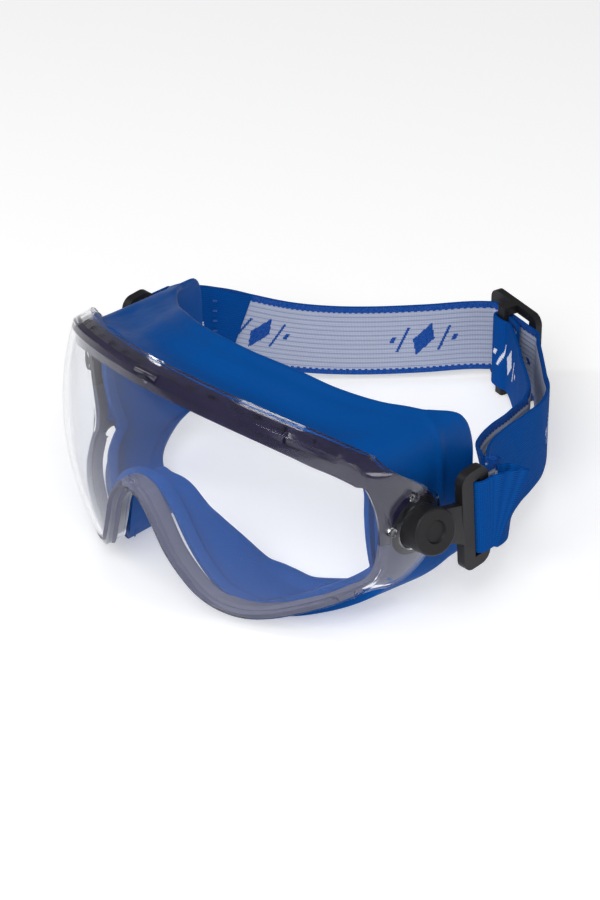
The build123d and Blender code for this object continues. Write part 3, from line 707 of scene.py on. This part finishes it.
def frame_vent(name, x, top):
    """A small dished vent that stands on the frame's top, found among these points of the frame; its
    near-black colour is painted shade standing in for the vent hole.
    """
    y = DATUM_Y + AXIS_BACK - DEPTH * np.sqrt(1 - (x / HALF_WIDTH) ** 2) + VENT_BACK
    foot = min(top, key=lambda co: (co.x - x) ** 2 + (co.y - y) ** 2 - 0.2 * co.z)
    turn = Vector((0, -0.1, 1)).to_track_quat("Z", "Y")
    profile = dome_profile(VENT_R, VENT_HEIGHT, VENT_DISH)
    return revolved(name, profile, Vector((x, y, foot.z)), turn, vent_painted_shade, 28)


def rounded_block(name, centre, size, radius, material):
    """A small moulded block with rounded edges."""
    made = piece(name, [(0, 0, 0)], [], [material])
    work = bmesh.new()
    bmesh.ops.create_cube(work, size=1.0)
    bmesh.ops.scale(work, vec=Vector(size) * MM, verts=work.verts)
    bmesh.ops.bevel(work, geom=work.edges, offset=radius * MM, segments=5, affect="EDGES", profile=0.5)
    bmesh.ops.translate(work, vec=Vector(centre) * MM, verts=work.verts)
    work.to_mesh(made.data)
    work.free()
    shade(made, 50)
    return made


def stud(name, angle, z, radius, height):
    """A clear stud that stands on the shell."""
    foot = Vector(shell(angle, z))
    ahead = Vector(shell(angle, z, -1.0)) - foot
    turn = ahead.to_track_quat("Z", "Y")
    return revolved(name, dome_profile(radius, height, STUD_DISH), foot, turn, lens_clear, 40)


def hub_stud(name, sign, spoke):
    """A stud beside the hub at this angle about the hub's axis."""
    side_way = Vector((0.14 * 0.962, 0.98, 0.14 * 0.235)).normalized()
    up_way = HUB_AXIS.cross(side_way)
    spoke_way = side_way * np.cos(np.radians(spoke)) + up_way * np.sin(np.radians(spoke))
    spot = HUB + spoke_way * HUB_STUD_REACH
    x = shell_x(spot.y, spot.z)
    foot = mirrored(Vector((x, spot.y, spot.z)), sign)
    turn = mirrored(Vector((1.0, -0.05, 0.05)), sign).to_track_quat("Z", "Y")
    profile = dome_profile(HUB_STUD_R, HUB_STUD_HEIGHT, STUD_DISH)
    return revolved(name, profile, foot, turn, lens_clear, 40)


lens = make_lens()
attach(lens, "goggles")
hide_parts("lens")

goggle_frame = make_frame()
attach(goggle_frame, "goggles")
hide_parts("vent_frame", "lower_frame")
frame_top = [vert.co / MM for vert in goggle_frame.data.vertices if vert.co.z > 70 * MM]
for side, sign in (("right", -1), ("left", 1)):
    for number in range(1, VENTS_A_SIDE + 1):
        vent = frame_vent(f"frame_vent_{side}_{number}", sign * VENT_PITCH * number, frame_top)
        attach(vent, "goggles")


tab = rounded_block("frame_tab", TAB_AT, TAB_SIZE, TAB_ROUND, frame_violet)
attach(tab, "goggles")


for side, sign in (("left", 1), ("right", -1)):
    for number, spoke in enumerate(HUB_STUD_SPOKES, start=1):
        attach(hub_stud(f"lens_stud_{side}_{number}", sign, spoke), "goggles")
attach(stud("lens_stud_nose", 0, NOSE_STUD_Z, NOSE_STUD_R, NOSE_STUD_HEIGHT), "goggles")
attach(stud("lens_stud_brow", 0, BROW_STUD_Z, BROW_STUD_R, BROW_STUD_HEIGHT), "goggles")


# ---- skirt ---------------------------------------------------------------------------------------
def skirt_surface():
    """Rows from the frame to the lip of the skirt's outer surface, in closed columns round the face."""
    columns, rows = 210, 40
    front = smooth(SKIRT_FRONT, columns)
    rear = smooth(SKIRT_REAR, columns)
    along = np.gradient(front, axis=0)
    inward = np.stack([along[:, 1], -along[:, 0]], axis=1) / np.linalg.norm(along, axis=1, keepdims=True)
    half = []
    for (fx, fz), (rx, rz, end), (nx, nz) in zip(front, rear, inward):
        half_width, depth = shell_axes(fz)
        across = fx / (half_width - SKIRT_GAP)
        start = AXIS_BACK - (depth - SKIRT_GAP) * np.sqrt(max(1 - across ** 2, 0)) + RIM_DEPTH
        out = Vector((rx, rz - FULL_Z)).normalized()
        # 1 on that stretch of the rim and 0 well away from it.
        temple = step(52, 64, rx) * step(5, 20, rz) * (1 - step(68, 78, rz))
        brow = step(62, 74, rz) * (1 - step(56, 64, rx))
        cheek = step(24, 32, rx) * (1 - step(4, 14, rz))
        column = []
        for reach, ahead in SKIRT_COLLAR:
            column.append((max(fx + nx * reach, 0) if fx else 0, DATUM_Y + start - ahead, fz + nz * reach))
        for share in np.linspace(0, 1, rows):
            at = start + (end - start) * share
            x = fx + (rx - fx) * at / REAR_BACK
            z = fz + (rz - fz) * at / REAR_BACK
            dip = -2.0 * brow * np.sin(np.pi * min(share / 0.8, 1.0)) ** 2
            lip = 1.2 * brow * step(0.72, 1.0, share) ** 2
            rib = 0.8 * temple * np.exp(-((at - 71.0) / 1.5) ** 2) * step(20, 40, rz)
            flange = 2.6 * cheek * step(0.7, 1.0, share) ** 2
            x += out[0] * (rib + dip * 0.2) - flange * 0.3
            z += dip + lip + flange
            column.append((x, DATUM_Y + at, z))
        half.append(column)
    half = np.array(half)
    other = half[-2:0:-1] * np.array([-1, 1, 1])
    return np.vstack([half, other]).transpose(1, 0, 2)


def walled(surface, thickness, lip_steps=7):
    """A closed wall from a surface with closed columns: outside, a rounded lip at the last row, inside."""
    along = np.gradient(surface, axis=0)
    beside = np.roll(surface, -1, axis=1) - np.roll(surface, 1, axis=1)
    normal = np.cross(along, beside)
    normal /= np.linalg.norm(normal, axis=2, keepdims=True)
    middle = surface.mean(axis=(0, 1))
    if ((surface - middle) * normal).sum() < 0:
        normal = -normal
    inside = surface - normal * thickness
    last = surface[-1] - normal[-1] * thickness / 2
    forward = along[-1] / np.linalg.norm(along[-1], axis=1, keepdims=True)
    lip = [last + (normal[-1] * np.cos(a) + forward * np.sin(a)) * thickness / 2
           for a in np.linspace(0, np.pi, lip_steps)[1:-1]]
    return np.vstack([surface, np.array(lip), inside[::-1]])


skirt_rows = walled(skirt_surface(), SKIRT_WALL)
skirt_faces = grid_faces(*skirt_rows.shape[:2], close_rows=True, close_columns=True)
skirt = piece("soft_skirt", skirt_rows.reshape(-1, 3), skirt_faces, [skirt_blue])
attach(skirt, "goggles")
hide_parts("face_skirt")


# ---- strap ---------------------------------------------------------------------------------------
def upright(stations, away=1):
    """A run's stations as x, y, lower edge, tip along the strap and lean away from its blue face."""
    return [(x, b + DATUM_Y, low, 0.0, away * np.radians(lean)) for x, b, low, lean in stations]


def fold_stations(sign):
    """Stations round a clip's rear bar, which leans with the clip."""
    made = []
    foot = Vector((0, -np.sin(BAR_LEAN), np.cos(BAR_LEAN))) * STRAP_WIDTH / 2
    for x, back in FOLD:
        reach = SLOT_OFFSET + back
        y = BAR.y + reach * np.cos(BAR_LEAN) - foot.y
        z = BAR.z + reach * np.sin(BAR_LEAN) - foot.z
        made.append((sign * (BAR.x + x), y, z, BAR_LEAN, 0.0))
    return made


def slider_station(reach, offset=0.0):
    """A station beside the slider's middle: how far along the strap, and how far towards its outer face."""
    along = Vector((np.cos(SLIDER_TURN), np.sin(SLIDER_TURN), 0))
    across = Vector((-np.sin(SLIDER_TURN), np.cos(SLIDER_TURN), 0))
    spot = SLIDER_MIDDLE + along * reach + across * offset
    return (spot.x, spot.y, STRAP_FOOT, 0.0, 0.0)


def strap_section():
    """The band's outline across its thickness: a plain outer face, round edges and a ribbed inner face."""
    half, wall = STRAP_WIDTH / 2, STRAP_THICK / 2
    heights = np.linspace(-half + wall, half - wall, 61)
    outer = [(h, wall + 0.04 * np.cos(2 * np.pi * h / 1.5)) for h in heights]
    ribs = [(h, -wall + 0.1 * np.cos(2 * np.pi * h / 2.0)) for h in heights[::-1]]
    top = [(half - wall + wall * np.sin(a), wall * np.cos(a)) for a in np.linspace(0, np.pi, 6)[1:-1]]
    low = [(-h, -w) for h, w in top]
    return outer, top, ribs, low


def strap(name, stations, outside, shift=0.0):
    """A knitted band through these stations. outside is +1 if its blue face is on the left of the run."""
    pitch = 0.9
    path = np.array(stations, float)
    length = np.linalg.norm(np.diff(path[:, :3], axis=0), axis=1).sum()
    path = smooth(path, int(length / pitch))
    run = np.concatenate([[0], np.cumsum(np.linalg.norm(np.diff(path[:, :3], axis=0), axis=1))])
    outer, top, ribs, low = strap_section()
    section = outer + top + ribs + low
    ahead = np.gradient(path[:, :3], axis=0)
    points = []
    # Each section stands on its station's lower edge, square to the run.
    for (x, y, z, tip, lean), way in zip(path, ahead):
        up = Vector((0, -np.sin(tip), np.cos(tip)))
        way = Vector(way).normalized()
        up = (up - up.cross(way).normalized() * outside * np.tan(lean)).normalized()
        out = up.cross(way).normalized() * outside
        up = (up - way * up.dot(way)).normalized()
        middle = Vector((x, y, z)) + up * STRAP_WIDTH / 2
        for height, thick in section:
            points.append(middle + up * height + out * thick)
    faces = grid_faces(len(path), len(section), close_columns=True)
    sides = len(faces)
    faces += [tuple(range(len(section)))[::-1], tuple(range(len(points) - len(section), len(points)))]
    band = piece(name, [tuple(p) for p in points], faces, [knit_blue, knit_grey])
    band["length"] = float(run[-1])
    ribbed = range(len(outer) + len(top) - 1, len(outer) + len(top) + len(ribs))
    for polygon in band.data.polygons[:sides]:
        column = min(index % len(section) for index in polygon.vertices)
        if column in ribbed and polygon.index % len(section) in ribbed:
            polygon.material_index = 1
    uv = band.data.uv_layers.new(name="weave")
    for loop in band.data.loops:
        row, column = divmod(loop.vertex_index, len(section))
        uv.data[loop.index].uv = (run[row] + shift, section[column][0])
    return band


near_stations = [slider_station(0), slider_station(RUN_IN)] + upright(NEAR_RUN)[::-1]
near_stations += fold_stations(1) + upright(RETURN_RUN[:RETURN_SPLIT], -1)
strap_near = strap("strap_near_side", near_stations, 1)
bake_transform(strap_near)
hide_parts("strap_main", "strap_fold_left")

far_stations = [slider_station(0), slider_station(-RUN_IN)] + upright(FAR_RUN)
far_stations += fold_stations(-1) + upright(TAIL_RUN)
strap_far = strap("strap_far_side", far_stations, -1, shift=31.0)
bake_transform(strap_far)
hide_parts("strap_fold_right", "strap_tail")

sewn_stations = upright(RETURN_RUN[RETURN_SPLIT - 1:-1], -1)
for reach, offset in (
    (7.5, 0.4 - WRAP), (HALF_BAR, -WRAP), (-HALF_BAR, 0.2 - WRAP), (-HALF_BAR - 1.6, 0.0),
    (-HALF_BAR, WRAP - 0.3), (HALF_BAR, WRAP - 0.3), (9.0, 0.6),
):
    sewn_stations.append(slider_station(reach, offset - BAR_OFFSET))
strap_sewn = strap("strap_sewn_end", sewn_stations, 1)
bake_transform(strap_sewn)
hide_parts("strap_return", "strap_end_loop")

# ---- CAD pieces that keep their shape -------------------------------------------------------------
finishes = {"slider": clip_black, "end_stitching": thread_blue, "tail_stitching": thread_blue}
for side in ("left", "right"):
    for name in ("clip", "pivot_base", "pivot_pin"):
        finishes[f"{name}_{side}"] = clip_black
for name, finish in finishes.items():
    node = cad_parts[name]
    node.data.materials.clear()
    node.data.materials.append(finish)
    if name.startswith(("clip", "slider")):
        edges = node.modifiers.new("soft_edges", "BEVEL")
        edges.width = 0.5 * MM
        edges.segments = 3
        edges.limit_method = "ANGLE"
        edges.angle_limit = np.radians(50)
        edges.harden_normals = True

# ---- studio --------------------------------------------------------------------------------------
scene = bpy.context.scene
scene.view_settings.view_transform = "Standard"
world = bpy.data.worlds.new("studio")
scene.world = world
world.use_nodes = True
background = world.node_tree.nodes["Background"]
background.inputs["Color"].default_value = (1, 1, 1, 1)
background.inputs["Strength"].default_value = 0.22

paper = Finish("floor_white", (0.8, 0.8, 0.805), 0.9, Specular_IOR_Level=0.0)
paper.shader.inputs["Emission Color"].default_value = (1, 1, 1, 1)
paper.shader.inputs["Emission Strength"].default_value = 0.4
corners = [(-6000, -6000, 0), (6000, -6000, 0), (6000, 6000, 0), (-6000, 6000, 0)]
floor = piece("floor", corners, [(0, 1, 2, 3)], [paper.material])
floor.location.z = -0.0002


def softbox(name, place, size, power):
    """A rectangular lamp that looks at the goggles."""
    light = bpy.data.lights.new(name, "AREA")
    light.shape = "RECTANGLE"
    light.size, light.size_y = size
    light.energy = power
    lamp = bpy.data.objects.new(name, light)
    lamp.location = place
    lamp.rotation_euler = (Vector((0, 0, 0.04)) - Vector(place)).to_track_quat("-Z", "Y").to_euler()
    scene.collection.objects.link(lamp)


softbox("key", (0.45, -0.85, 0.95), (0.8, 0.8), 11.0)
softbox("top", (0.35, -0.1, 1.3), (0.9, 0.9), 2.2)
softbox("side", (1.1, 0.15, 0.55), (0.3, 0.6), 1.8)
softbox("edge", (-0.66, -0.56, 0.64), (0.1, 0.5), 1.6)

camera = bpy.data.objects.new("camera", bpy.data.cameras.new("camera"))
camera.data.lens = 135.04
camera.data.sensor_width = 36
camera.location = (0.72882, -0.73784, 0.66806)
look = Vector((0.0035, -0.0248, 0.03065)) - camera.location
camera.rotation_euler = look.to_track_quat("-Z", "Y").to_euler()
scene.collection.objects.link(camera)
scene.camera = camera
